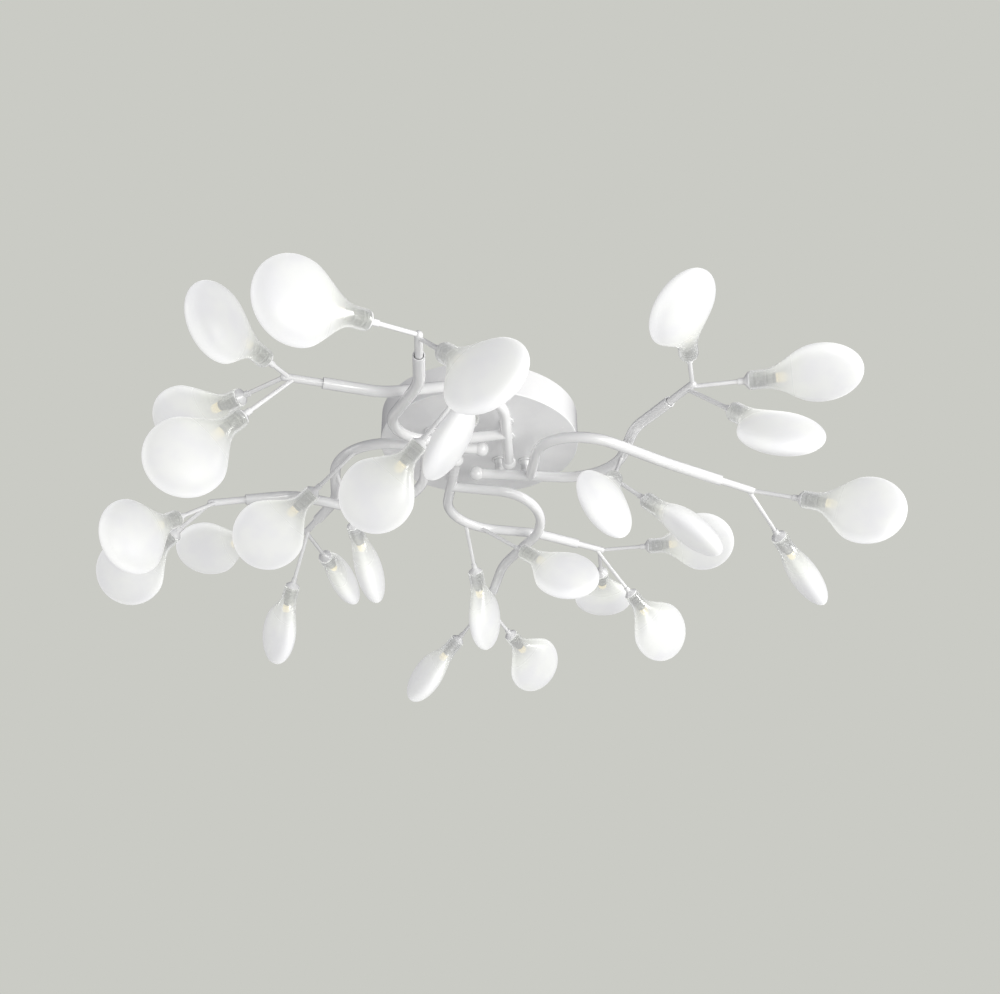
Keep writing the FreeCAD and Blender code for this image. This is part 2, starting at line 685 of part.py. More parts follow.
def skin_faces(low, high):
    """Flat faces between two rings: four corners where they lie flat, else three."""
    faces = []
    for i in range(len(low)):
        after = (i + 1) % len(low)
        a, b, c, d = low[i], low[after], high[after], high[i]
        off = (b - a).cross(d - a).normalize().dot(c - a)
        if abs(off) < 1e-7:
            faces.append(flat_face([a, b, c, d]))
        else:
            faces += [flat_face([a, b, c]), flat_face([a, c, d])]
    return faces


def leaf_skin(label, rings, sides):
    """Closed skin of flat faces through the rings, as a plain solid."""
    rows = [ring_points(ring, sides) for ring in rings]
    faces = [flat_face(rows[0]), flat_face(rows[-1])]
    for low, high in zip(rows, rows[1:]):
        faces += skin_faces(low, high)
    feature = doc.addObject("Part::Feature", label)
    feature.Shape = Part.Solid(Part.Shell(faces))
    return feature


def make_leaf_form():
    """The hollow shade: outer skin less inner skin, open at the neck's mouth."""
    wall = size("leaf_wall")
    outer = leaf_rings(0, OUTER_SHOULDER, OUTER_ANGLES, 0)
    inner = leaf_rings(wall, (), INNER_ANGLES, -wall)
    spread = 1 / math.cos(math.pi / INNER_SIDES)
    for i in (0, 1):
        height, radius, _ = inner[i]
        inner[i] = (height, radius * spread, radius * spread)
    form = doc.addObject("Part::Cut", "leaf_form")
    form.Base = leaf_skin("leaf_outer_skin", outer, OUTER_SIDES)
    form.Tool = leaf_skin("leaf_inner_skin", inner, INNER_SIDES)
    doc.recompute()
    return form


def cap_seat_depth():
    """From the mouth back to where the stem stops in the cap."""
    return size("neck_gap") + size("cap_lip") + size("cap_cone_length") \
        + size("cap_sleeve_length") - size("stem_insert")


def make_cap_form():
    """White end cap: sleeve on the stem, cone, lip at the mouth, spigot in the neck."""
    sleeve = size("cap_sleeve_diameter") / 2
    lip = size("cap_diameter") / 2
    spigot = size("neck_diameter") / 2 - size("leaf_wall") - size("neck_gap")
    bore = size("stem_diameter") / 2 + size("stem_fit")
    wires = size("wire_bore") / 2
    face = -size("neck_gap")
    cone_top = face - size("cap_lip")
    cone_foot = cone_top - size("cap_cone_length")
    end = cone_foot - size("cap_sleeve_length")
    stop = -cap_seat_depth()
    return lathe([
        (bore, end), (sleeve, end), (sleeve, cone_foot), (lip, cone_top), (lip, face),
        (spigot, face), (spigot, size("cap_spigot")), (wires, size("cap_spigot")),
        (wires, stop), (bore, stop)])


def pins(diameter, base, length):
    solids = []
    for sign in (-1, 1):
        foot = FreeCAD.Vector(sign * size("pin_spacing") / 2, 0, base)
        solids.append(Part.makeCylinder(diameter / 2, length, foot, Z_AXIS))
    return solids


def holder_top():
    return size("cap_spigot") + size("holder_length")


def make_holder_form():
    """Metal lamp holder: barrel with a deep groove for the ring, shallow ones and a rim."""
    barrel = size("holder_diameter") / 2
    ring = size("neck_diameter") / 2 - size("leaf_wall") - size("neck_gap")
    foot = size("cap_spigot")
    top = holder_top()
    low = foot + size("grip_ring_foot")
    high = low + size("grip_ring_height")
    bed = barrel - size("grip_ring_depth")
    profile = [(0, foot), (barrel, foot), (barrel, low), (bed, low), (bed, high),
               (barrel, high)]
    groove = size("holder_groove")
    for i in range(int(size("holder_grooves"))):
        low = high + size("holder_groove_pitch") * (i + 0.5)
        profile += [(barrel, low), (barrel - groove / 2, low),
                    (barrel - groove / 2, low + groove), (barrel, low + groove)]
    profile += [(barrel, top - size("holder_ring")), (ring, top - size("holder_ring")),
                (ring, top), (0, top)]
    return lathe(profile).cut(pins(size("pin_diameter") + 2 * size("pin_fit"),
                                   top - size("pin_length"), size("pin_length")))


def make_ring_form():
    """Rubber ring in the holder's deep groove; the neck turns on it."""
    bed = size("holder_diameter") / 2 - size("grip_ring_depth")
    grip = size("neck_diameter") / 2 - size("leaf_wall") - size("grip_fit")
    low = size("cap_spigot") + size("grip_ring_foot")
    high = low + size("grip_ring_height")
    edge = size("grip_ring_height") / 4
    return lathe([(bed, low), (grip - edge, low), (grip, low + edge),
                  (grip, high - edge), (grip - edge, high), (bed, high)])


def make_capsule_form():
    """Lamp capsule: narrow base, barrel with a domed end and two pins."""
    barrel = size("capsule_diameter") / 2
    base = size("capsule_base_diameter") / 2
    foot = holder_top()
    step = foot + size("capsule_base_length")
    dome = foot + size("capsule_length") - barrel
    solid = Part.makeCylinder(base, step - foot, FreeCAD.Vector(0, 0, foot))
    solid = solid.fuse(Part.makeCylinder(barrel, dome - step, FreeCAD.Vector(0, 0, step)))
    solid = solid.fuse(Part.makeSphere(barrel, FreeCAD.Vector(0, 0, dome)))
    solid = solid.fuse(pins(size("pin_diameter"), foot - size("pin_length"),
                            size("pin_length")))
    return solid.removeSplitter()


def leaf_placement(way, mouth, roll):
    """Z along the leaf; at roll 0 its flat faces look up and down."""
    across = Z_AXIS.cross(way).normalize()
    upward = way.cross(across)
    turn = math.radians(roll)
    face = upward * math.cos(turn) + across * math.sin(turn)
    edge = face.cross(way)
    return FreeCAD.Placement(mouth, FreeCAD.Rotation(edge, face, way, "ZXY"))


# ---- the whole lamp

def make_branches(leaf_form):
    cap_form = make_cap_form()
    holder_form = make_holder_form()
    ring_form = make_ring_form()
    capsule_form = make_capsule_form()
    groups = {"branch_posts": [], "post_nuts": [], "holder_caps": [], "holder_rings": [],
              "lamp_holders": [], "lamp_capsules": []}
    for name, quarter, _ in BRANCHES:
        place = branch_placement(quarter, size(f"turn_{name}"))
        main_tube, side_tube, outlets, stems, posts = branch_shapes(name)
        shape_feature(f"main_tube_{name}", main_tube, place)
        shape_feature(f"side_tube_{name}", side_tube, place)
        shape_feature(f"outlet_tubes_{name}", Part.makeCompound(outlets), place)
        shape_feature(f"leaf_stems_{name}", Part.makeCompound(stems), place)
        groups["branch_posts"] += [placed(post, place) for post in posts]
        groups["post_nuts"] += [placed(post_nut(out), place) for out in post_places()]
        for number, (_, _, way, mouth) in enumerate(leaf_lies(name), 1):
            lie = place.multiply(
                leaf_placement(way, mouth, size(f"stem_roll_{name}_{number}")))
            shape_feature(f"leaf_shade_{name}_{number}", leaf_form.Shape, lie)
            groups["holder_caps"].append(placed(cap_form, lie))
            groups["holder_rings"].append(placed(ring_form, lie))
            groups["lamp_holders"].append(placed(holder_form, lie))
            groups["lamp_capsules"].append(placed(capsule_form, lie))
    for label, solids in groups.items():
        shape_feature(label, Part.makeCompound(solids))


def placed(shape, placement):
    copy = shape.copy()
    copy.Placement = placement.multiply(shape.Placement)
    return copy


def drill_canopy(canopy):
    """Holes for the post spigots, on the same places as the posts."""
    holes = new_sketch(canopy, "post_holes", "XY_Plane", "-sizes.canopy_height")
    for name, quarter, _ in BRANCHES:
        place = branch_placement(quarter, size(f"turn_{name}"))
        for out in post_places():
            point = place.multVec(FreeCAD.Vector(out, size("tube_side"), 0))
            bound_circle(holes, "sizes.post_spigot_diameter + 2 * sizes.thread_clearance",
                         f"{point.x:.4f}", f"{point.y:.4f}")
    pocket(canopy, holes, "post_hole", "sizes.canopy_plate * 2", backwards=True)


def check_and_write():
    doc.recompute()
    for thing in doc.Objects:
        if "Invalid" in thing.State or "Error" in thing.State:
            raise ValueError(f"{thing.Label} is {thing.State}")
    os.makedirs("parts", exist_ok=True)
    for thing in subparts:
        shape = thing.Shape
        if shape.isNull() or not shape.isValid() or not shape.Solids:
            raise ValueError(f"{thing.Label} has a bad shape")
    for thing in subparts:
        thing.Shape.exportStep(f"parts/{thing.Label}.step")
    print(len(subparts), "nodes,", sum(len(t.Shape.Solids) for t in subparts), "solids")


write_sheet()
canopy_body = make_canopy()
drill_canopy(canopy_body)
make_strap()
make_driver()
make_terminal_block()
make_screws()
make_branches(make_leaf_form())
check_and_write()
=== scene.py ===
import json
import math

import bmesh
import bpy
from mathutils import Matrix, Vector


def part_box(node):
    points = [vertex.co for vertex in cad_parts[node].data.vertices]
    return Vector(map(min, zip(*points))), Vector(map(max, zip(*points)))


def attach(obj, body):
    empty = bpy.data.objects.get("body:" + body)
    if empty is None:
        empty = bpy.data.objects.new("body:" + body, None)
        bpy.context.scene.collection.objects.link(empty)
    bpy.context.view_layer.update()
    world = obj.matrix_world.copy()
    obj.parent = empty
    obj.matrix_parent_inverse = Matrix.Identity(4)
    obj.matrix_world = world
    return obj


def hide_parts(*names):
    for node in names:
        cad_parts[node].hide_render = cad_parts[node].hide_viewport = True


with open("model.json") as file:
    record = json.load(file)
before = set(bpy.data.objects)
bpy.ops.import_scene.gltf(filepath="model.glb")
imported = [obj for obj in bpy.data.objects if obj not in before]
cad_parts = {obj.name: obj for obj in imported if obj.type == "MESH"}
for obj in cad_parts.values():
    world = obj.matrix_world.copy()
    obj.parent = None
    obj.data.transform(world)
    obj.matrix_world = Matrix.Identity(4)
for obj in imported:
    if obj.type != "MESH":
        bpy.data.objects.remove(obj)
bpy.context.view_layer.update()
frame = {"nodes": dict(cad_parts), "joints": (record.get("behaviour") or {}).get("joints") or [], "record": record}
nodes = frame["nodes"]
mm = 0.001  # the shapes below are in millimetres, Blender's objects in metres


def newMaterial(name):
    mat = bpy.data.materials.new(name)
    mat.use_nodes = True
    shader = mat.node_tree.nodes["Principled BSDF"]
    return mat, mat.node_tree, shader


def addNode(tree, kind, **inputs):
    node = tree.nodes.new(kind)
    for key, value in inputs.items():
        node.inputs[key].default_value = value
    return node


def addRamp(tree, source, stops, blend="EASE"):
    # each stop is a place from 0 to 1 with a grey level or a colour
    ramp = tree.nodes.new("ShaderNodeValToRGB")
    ramp.color_ramp.interpolation = blend
    points = ramp.color_ramp.elements
    while len(points) < len(stops):
        points.new(0.5)
    for point, (place, shade) in zip(points, stops):
        point.position = place
        point.color = (shade, shade, shade, 1) if isinstance(shade, float) else (*shade, 1)
    tree.links.new(source, ramp.inputs["Fac"])
    return ramp.outputs["Color"]


def speckle(tree, scale, detail):
    # soft clouds fixed to the object, finer as the scale grows
    coords = tree.nodes.new("ShaderNodeTexCoord")
    cloud = addNode(tree, "ShaderNodeTexNoise", Scale=scale, Detail=detail)
    tree.links.new(coords.outputs["Object"], cloud.inputs["Vector"])
    return cloud.outputs["Fac"]


def paintTone(tree, shader, cloud, stops):
    tone = addRamp(tree, cloud, stops)
    tree.links.new(tone, shader.inputs["Base Color"])
    return tone


def varyRoughness(tree, shader, source, stops, blend="EASE"):
    rough = addRamp(tree, source, stops, blend)
    tree.links.new(rough, shader.inputs["Roughness"])


def addBump(tree, shader, height, strength, distance):
    bump = addNode(tree, "ShaderNodeBump", Strength=strength, Distance=distance)
    tree.links.new(height, bump.inputs["Height"])
    tree.links.new(bump.outputs["Normal"], shader.inputs["Normal"])


def alongLeaf(tree, low, high, measure="leafHeight"):
    # 0 where the measure kept in the leaf's mesh is low, 1 where it is high
    height = tree.nodes.new("ShaderNodeAttribute")
    height.attribute_name = measure
    spread = tree.nodes.new("ShaderNodeMapRange")
    spread.inputs["From Min"].default_value = low
    spread.inputs["From Max"].default_value = high
    tree.links.new(height.outputs["Fac"], spread.inputs["Value"])
    return spread.outputs["Result"]


def meshObject(name, bm, mats, smooth=True):
    mesh = bpy.data.meshes.new(name)
    bm.normal_update()
    bm.to_mesh(mesh)
    bm.free()
    for mat in mats:
        mesh.materials.append(mat)
    for face in mesh.polygons:
        face.use_smooth = smooth
    thing = bpy.data.objects.new(name, mesh)
    bpy.context.scene.collection.objects.link(thing)
    return thing


def skinRings(bm, rings, closed=False):
    # rings of equal count, each a list of points, joined by quads, with flat ends where closed
    rows = [[bm.verts.new(point) for point in ring] for ring in rings]
    count = len(rows[0])
    made = []
    for low, high in zip(rows, rows[1:]):
        for i in range(count):
            j = (i + 1) % count
            made.append(bm.faces.new((low[i], low[j], high[j], high[i])))
    if closed:
        made.append(bm.faces.new(list(reversed(rows[0]))))
        made.append(bm.faces.new(rows[-1]))
    return made


# places: each leaf's own, with Z along it from the neck's mouth and X across its broad face
def leafMatrix(joint):
    body = joint["child"]
    node = nodes[frame["record"]["behaviour"]["bodies"][body][0]]
    mouth = Vector(joint["pos_m"])
    along = Vector(joint["axis"]).normalized()
    side = along.orthogonal().normalized()
    other = along.cross(side)
    sideSide = otherOther = sideOther = 0.0
    for vert in node.data.vertices:
        a = (vert.co - mouth).dot(side)
        b = (vert.co - mouth).dot(other)
        sideSide += a * a
        otherOther += b * b
        sideOther += a * b
    turn = 0.5 * math.atan2(2 * sideOther, sideSide - otherOther)
    wide = side * math.cos(turn) + other * math.sin(turn)
    thick = along.cross(wide)
    place = Matrix((wide, thick, along)).transposed().to_4x4()
    place.translation = mouth
    return place


leafJoints = [joint for joint in frame["joints"] if joint["name"].startswith("turn_")]
leafPlaces = {joint["child"]: leafMatrix(joint) for joint in leafJoints}
print("leaves placed:", len(leafPlaces))


leafShade = {
    "halfWidth": 34.9, "halfThick": 14.5, "halfLength": 35.6, "centre": 60.0,
    "neckRadius": 8.45, "neckLength": 12.0, "neckRings": (3.0, 6.0, 9.0), "wall": 1.8,
    "joinAngle": -18, "sides": 64, "shoulderRings": 14, "bodyRings": 26, "lipSteps": 6,
}


def leafProfile(inset):
    # (height, half width, half thickness) from the neck's end to the tip
    neck = leafShade["neckRadius"] - inset
    wide = leafShade["halfWidth"] - inset
    thick = leafShade["halfThick"] - inset
    tall = leafShade["halfLength"] - inset
    join = math.radians(leafShade["joinAngle"])
    base = leafShade["neckLength"]
    top = leafShade["centre"] + tall * math.sin(join)
    rows = []
    for i in range(leafShade["shoulderRings"]):
        # a smooth curve from the straight neck into the oval's own slope
        s = i / leafShade["shoulderRings"]
        keep = 2 * s ** 3 - 3 * s ** 2 + 1
        reach = 3 * s ** 2 - 2 * s ** 3
        lean = (s ** 3 - s ** 2) * (top - base) * -math.tan(join)
        rows.append((base + (top - base) * s,
                     neck * keep + wide * math.cos(join) * reach + lean * wide / tall,
                     neck * keep + thick * math.cos(join) * reach + lean * thick / tall))
    for i in range(leafShade["bodyRings"]):
        angle = join + (math.pi / 2 - join) * i / leafShade["bodyRings"]
        rows.append((leafShade["centre"] + tall * math.sin(angle),
                     wide * math.cos(angle), thick * math.cos(angle)))
    return rows


def ellipseRing(height, wide, thick):
    sides = leafShade["sides"]
    return [Vector((wide * math.cos(2 * math.pi * i / sides),
                    thick * math.sin(2 * math.pi * i / sides), height)) * mm
            for i in range(sides)]


def leafMesh():
    # inner skin from the tip down, round the lip at the mouth, then the outer skin up
    bm = bmesh.new()
    sides = leafShade["sides"]
    outerRadius = leafShade["neckRadius"]
    innerRadius = outerRadius - leafShade["wall"]
    middle = (outerRadius + innerRadius) / 2
    lip = leafShade["wall"] / 2
    outer = leafProfile(0)
    inner = leafProfile(leafShade["wall"])
    rows = [ellipseRing(*row) for row in reversed(inner)]
    for height in reversed(leafShade["neckRings"]):
        rows.append(ellipseRing(height, innerRadius, innerRadius))
    for i in range(leafShade["lipSteps"] + 1):
        angle = math.pi * i / leafShade["lipSteps"]
        radius = middle - lip * math.cos(angle)
        rows.append(ellipseRing(lip * (1 - math.sin(angle)), radius, radius))
    for height in leafShade["neckRings"]:
        rows.append(ellipseRing(height, outerRadius, outerRadius))
    rows += [ellipseRing(*row) for row in outer]
    skinRings(bm, rows)
    tip = leafShade["centre"] + leafShade["halfLength"]
    bm.verts.ensure_lookup_table()
    inside, outside = bm.verts[:sides], bm.verts[len(bm.verts) - sides:]
    for ring, height in ((inside, tip - leafShade["wall"]), (outside, tip)):
        peak = bm.verts.new((0, 0, height * mm))
        for i in range(sides):
            j = (i + 1) % sides
            bm.faces.new((ring[i], ring[j], peak))
    bmesh.ops.recalc_face_normals(bm, faces=bm.faces)
    markLeaf(bm, outer)
    return bm


def markLeaf(bm, profile):
    # height from the mouth in millimetres, and 0 at the leaf's edge to 1 on its broad faces; the second measure
    # sets where the painted rim glow is brighter
    height = bm.verts.layers.float.new("leafHeight")
    face = bm.verts.layers.float.new("leafFace")
    for vert in bm.verts:
        level = vert.co.z / mm
        vert[height] = level
        thick = leafShade["halfThick"]
        if level < leafShade["centre"]:
            near = min(profile, key=lambda row: abs(row[0] - level))
            thick = near[2]
        vert[face] = min(1.0, abs(vert.co.y) / mm / thick)


# stops run from the clear neck, 0, to the frosted body, 1
frostedGlass = {
    "clearTo": 10.0, "frostedFrom": 54.0,
    "clearness": [(0.0, 0.93), (0.25, 0.78), (0.5, 0.42), (1.0, 0.06)],
    "roughness": [(0.0, 0.04), (0.3, 0.1), (0.6, 0.28), (1.0, 0.42)],
    # the next three lines set the painted glow: emission that fades and warms towards the neck and is stronger at
    # the edge than on the broad faces
    "paintedGlowFade": [(0.0, 0.35), (0.3, 0.55), (0.6, 0.92), (1.0, 1.0)],
    "paintedGlowTone": [(0.0, (0.97, 0.98, 0.95)), (0.5, (0.985, 1.0, 0.93)), (1.0, (0.985, 0.985, 1.0))],
    "paintedFaceGlow": 0.43, "paintedRimGlow": 0.58, "paintedRimFrom": 0.05, "paintedRimTo": 0.6,
    "clouds": 38.0, "tones": [(0.3, (0.42, 0.42, 0.435)), (0.7, (0.46, 0.465, 0.45))],
    "ior": 1.46, "sheen": 0.5, "sheenRoughness": 0.35, "specular": 0.35,
    "grain": 900.0, "grainStrength": 0.12, "grainDepth": 0.0003,
}


def makeFrostedGlass():
    # clear at the neck, then more and more frosted; a painted glow over a grey base tone stands in for lamplight
    # through the frost, fainter and warmer near the neck, and is painted brighter at the edge than on the broad
    # faces
    mat, tree, shader = newMaterial("frostedGlass")
    finish = frostedGlass
    height = alongLeaf(tree, finish["clearTo"], finish["frostedFrom"])
    clear = addRamp(tree, height, finish["clearness"], "B_SPLINE")
    tree.links.new(clear, shader.inputs["Transmission Weight"])
    varyRoughness(tree, shader, height, finish["roughness"], "B_SPLINE")
    paintTone(tree, shader, speckle(tree, finish["clouds"], 2.0), finish["tones"])
    # painted rim glow and its fade: emission stronger at the leaf's edge than on its broad faces, and fainter
    # towards the neck
    facing = alongLeaf(tree, finish["paintedRimFrom"], finish["paintedRimTo"], "leafFace")
    edge = addRamp(tree, facing, [(0.0, finish["paintedRimGlow"]), (1.0, finish["paintedFaceGlow"])])
    fade = addRamp(tree, height, finish["paintedGlowFade"], "B_SPLINE")
    power = addNode(tree, "ShaderNodeMath")
    power.operation = "MULTIPLY"
    tree.links.new(edge, power.inputs[0])
    tree.links.new(fade, power.inputs[1])
    # painted warm tint of the glow near the neck
    paintedGlowTint = addRamp(tree, height, finish["paintedGlowTone"], "B_SPLINE")
    tree.links.new(paintedGlowTint, shader.inputs["Emission Color"])
    tree.links.new(power.outputs[0], shader.inputs["Emission Strength"])
    shader.inputs["IOR"].default_value = finish["ior"]
    shader.inputs["Specular IOR Level"].default_value = finish["specular"]
    shader.inputs["Sheen Weight"].default_value = finish["sheen"]
    shader.inputs["Sheen Roughness"].default_value = finish["sheenRoughness"]
    addBump(tree, shader, speckle(tree, finish["grain"], 4.0), finish["grainStrength"],
            finish["grainDepth"])
    return mat


glassMat = makeFrostedGlass()
leafForm = leafMesh()
for body, place in leafPlaces.items():
    branch, number = body.split("_")[1:]
    form = leafForm.copy()
    form.transform(place)
    shade = meshObject(f"leafShade_{branch}_{number}", form, [glassMat])
    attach(shade, body)
    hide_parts(f"leaf_shade_{branch}_{number}")
leafForm.free()
print("leaf shades made")


# heights are from the neck's mouth; the rubber ring sits in the bed between its two heights
lampHolder = {
    "radius": 5.7, "foot": 3.55, "top": 14.4, "rimRadius": 6.35, "rimFrom": 12.95,
    "rimBore": 3.0, "ringBed": 5.08, "ringLow": 5.08, "ringHigh": 6.92,
    "slots": 10, "slotDepth": 0.55, "slotFrom": 0.35, "slotsAboveRing": 0.9,
    "slotsBelowRim": 0.5, "sides": 60,
}


def addLathe(bm, place, profile, sides, slot, flute=None):
    # profile is (height, radius); flute gives a change of radius by height and angle
    rows = []
    for height, radius in profile:
        ring = []
        for i in range(sides):
            angle = 2 * math.pi * i / sides
            r = radius + (flute(height, angle) if flute else 0)
            ring.append(place @ (Vector((r * math.cos(angle), r * math.sin(angle), height)) * mm))
        rows.append(ring)
    for face in skinRings(bm, rows, True):
        face.material_index = slot


def holderFlute(height, angle):
    part = lampHolder
    if part["ringHigh"] + part["slotsAboveRing"] < height < part["rimFrom"] - part["slotsBelowRim"]:
        wave = math.cos(angle * part["slots"])
        return -part["slotDepth"] if wave > part["slotFrom"] else 0.0
    return 0.0


def holderProfile():
    # chamfered foot, groove of the rubber ring, slotted barrel, then the wider rim
    part = lampHolder
    r = part["radius"]
    return [(part["foot"], r - 0.25), (part["foot"] + 0.25, r), (part["ringLow"] - 0.2, r),
            (part["ringLow"], r - 0.15), (part["ringLow"] + 0.02, part["ringBed"]),
            (part["ringHigh"] - 0.02, part["ringBed"]), (part["ringHigh"], r - 0.15),
            (part["ringHigh"] + 0.2, r), (part["ringHigh"] + 0.85, r),
            (part["ringHigh"] + 0.95, r), (part["rimFrom"] - 0.6, r),
            (part["rimFrom"] - 0.45, r), (part["rimFrom"] - 0.1, r),
            (part["rimFrom"], part["rimRadius"] - 0.1), (part["rimFrom"] + 0.15, part["rimRadius"]),
            (part["top"] - 0.2, part["rimRadius"]), (part["top"], part["rimRadius"] - 0.2),
            (part["top"], part["rimBore"])]


holderMetal = {
    "scratches": 160.0, "metallic": 0.5, "scratchStrength": 0.1, "scratchDepth": 0.0002,
    "tones": [(0.35, (0.66, 0.66, 0.65)), (0.65, (0.76, 0.76, 0.75))],
    "roughness": [(0.3, 0.34), (0.7, 0.45)],
}


def makeHolderMetal():
    mat, tree, shader = newMaterial("holderMetal")
    finish = holderMetal
    scratch = speckle(tree, finish["scratches"], 3.0)
    paintTone(tree, shader, scratch, finish["tones"])
    shader.inputs["Metallic"].default_value = finish["metallic"]
    varyRoughness(tree, shader, scratch, finish["roughness"])
    addBump(tree, shader, scratch, finish["scratchStrength"], finish["scratchDepth"])
    return mat


lampCapsule = {
    "pinRadius": 4.3, "baseRadius": 5.0, "clipRadius": 4.6, "radius": 4.3,
    "foot": 14.5, "base": 15.1, "clip": 19.6, "glass": 22.6, "tip": 33.2, "sides": 32,
    "grooves": (0.36, 0.68), "grooveDepth": 0.35, "tipSteps": 9,
}
capsuleGlow = {
    "clouds": 300.0, "tones": [(0.3, (0.95, 0.78, 0.4)), (0.7, (1.0, 0.87, 0.5))],
    "strength": 1.0, "roughness": 0.35,
}
capsuleBase = {"tones": [(0.3, (0.5, 0.5, 0.47)), (0.7, (0.62, 0.62, 0.58))], "roughness": 0.45}
capsuleClip = {"tones": [(0.3, (0.04, 0.04, 0.04)), (0.7, (0.08, 0.08, 0.078))], "roughness": 0.4}
capsuleClouds = 500.0


def makeCapsuleGlow():
    mat, tree, shader = newMaterial("capsuleGlow")
    finish = capsuleGlow
    tone = paintTone(tree, shader, speckle(tree, finish["clouds"], 2.0), finish["tones"])
    tree.links.new(tone, shader.inputs["Emission Color"])
    shader.inputs["Emission Strength"].default_value = finish["strength"]
    shader.inputs["Roughness"].default_value = finish["roughness"]
    return mat


def makeCapsulePlastic(name, finish):
    mat, tree, shader = newMaterial(name)
    paintTone(tree, shader, speckle(tree, capsuleClouds, 3.0), finish["tones"])
    shader.inputs["Roughness"].default_value = finish["roughness"]
    return mat


def capsuleRows():
    # dark pin plate, light base with two grooves, dark clip, then the round capsule
    part = lampCapsule
    pins = [(part["foot"], part["pinRadius"] - 0.2), (part["foot"] + 0.1, part["pinRadius"]),
            (part["base"], part["pinRadius"])]
    r = part["baseRadius"]
    bed = r - part["grooveDepth"]
    base = [(part["base"], r - 0.3), (part["base"] + 0.3, r)]
    for share in part["grooves"]:
        groove = part["base"] + share * (part["clip"] - part["base"])
        base += [(groove - 0.2, r), (groove - 0.1, bed), (groove + 0.1, bed), (groove + 0.2, r)]
    base += [(part["clip"] - 0.3, r), (part["clip"], r - 0.3)]
    r = part["clipRadius"]
    clip = [(part["clip"], r - 0.1), (part["clip"] + 0.2, r), (part["glass"] - 0.5, r),
            (part["glass"], r - 0.35)]
    r = part["radius"] - 0.15
    body = [(part["glass"], r)]
    for i in range(part["tipSteps"]):
        angle = math.radians(90 / part["tipSteps"] * i)
        body.append((part["tip"] - r + r * math.sin(angle), r * math.cos(angle)))
    return pins, base, clip, body


def makeHolders():
    bm = bmesh.new()
    for place in leafPlaces.values():
        addLathe(bm, place, holderProfile(), lampHolder["sides"], 0, holderFlute)
    piece = meshObject("lampHolders", bm, [makeHolderMetal()])
    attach(piece, "frame")
    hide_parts("lamp_holders")


def makeCapsules():
    finishes = [makeCapsulePlastic("capsuleClip", capsuleClip),
                makeCapsulePlastic("capsuleBase", capsuleBase), makeCapsuleGlow()]
    bm = bmesh.new()
    for place in leafPlaces.values():
        for rows, slot in zip(capsuleRows(), (0, 1, 0, 2)):
            addLathe(bm, place, rows, lampCapsule["sides"], slot)
    piece = meshObject("lampCapsules", bm, finishes)
    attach(piece, "frame")
    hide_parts("lamp_capsules")


makeHolders()
makeCapsules()
print("lamp holders and capsules made")


# finishes of the parts whose own meshes are kept
whiteLacquer = {
    "clouds": 30.0, "tones": [(0.3, (0.88, 0.88, 0.89)), (0.7, (0.92, 0.92, 0.925))],
    "roughness": [(0.2, 0.22), (0.8, 0.28)], "coat": 1.0, "coatRoughness": 0.08,
    "ripple": 90.0, "rippleStrength": 0.03, "rippleDepth": 0.0003,
}


def makeWhiteLacquer():
    mat, tree, shader = newMaterial("whiteLacquer")
    finish = whiteLacquer
    cloud = speckle(tree, finish["clouds"], 3.0)
    paintTone(tree, shader, cloud, finish["tones"])
    varyRoughness(tree, shader, cloud, finish["roughness"])
    shader.inputs["Coat Weight"].default_value = finish["coat"]
    shader.inputs["Coat Roughness"].default_value = finish["coatRoughness"]
    addBump(tree, shader, speckle(tree, finish["ripple"], 2.0), finish["rippleStrength"],
            finish["rippleDepth"])
    return mat


zincSteel = {
    "spangle": 120.0, "tones": [(0.35, (0.48, 0.49, 0.5)), (0.65, (0.62, 0.63, 0.64))],
    "roughness": [(0.3, 0.35), (0.7, 0.5)], "metallic": 0.9,
}


def makeZincSteel():
    mat, tree, shader = newMaterial("zincSteel")
    cloud = speckle(tree, zincSteel["spangle"], 4.0)
    paintTone(tree, shader, cloud, zincSteel["tones"])
    shader.inputs["Metallic"].default_value = zincSteel["metallic"]
    varyRoughness(tree, shader, cloud, zincSteel["roughness"])
    return mat


plasticSkin = {
    "clouds": 200.0, "dim": 0.94, "grain": 1400.0, "grainStrength": 0.15, "grainDepth": 0.0002,
}


def makePlastic(name, tone, roughness):
    mat, tree, shader = newMaterial(name)
    skin = plasticSkin
    dim = tuple(skin["dim"] * part for part in tone)
    paintTone(tree, shader, speckle(tree, skin["clouds"], 3.0), [(0.3, dim), (0.7, tone)])
    shader.inputs["Roughness"].default_value = roughness
    addBump(tree, shader, speckle(tree, skin["grain"], 2.0), skin["grainStrength"],
            skin["grainDepth"])
    return mat


slotFinishes = {
    "white_lacquer": makeWhiteLacquer(),
    "zinc_steel": makeZincSteel(),
    "seal_rubber": makePlastic("sealRubber", (0.86, 0.86, 0.85), 0.4),
    "driver_case": makePlastic("driverCase", (0.82, 0.82, 0.81), 0.5),
    "terminal_plastic": makePlastic("terminalPlastic", (0.78, 0.78, 0.75), 0.45),
}


def dressNodes():
    for part in frame["record"]["subparts"]:
        finish = slotFinishes.get(part["material_slot"])
        node = nodes[part["node"]]
        if finish and not node.hide_render:
            node.data.materials.clear()
            node.data.materials.append(finish)


dressNodes()
print("kept parts finished")


# collars and threads on the posts, two posts to a branch, measured from the canopy's underside
postTrim = {
    "collarRadius": 7.4, "collarHeight": 1.8, "threadRoot": 4.05, "threadCrest": 4.6,
    "threadFrom": 6.5, "threadTo": 11.5, "pitch": 1.0, "crestFrom": 0.4, "crestTo": 0.6,
    "sides": 48, "outs": (20.0, 47.0), "side": 28.0,
}
branchTurns = {"right": (0, 5), "far": (90, 8), "left": (180, 7), "near": (270, -3)}  # degrees


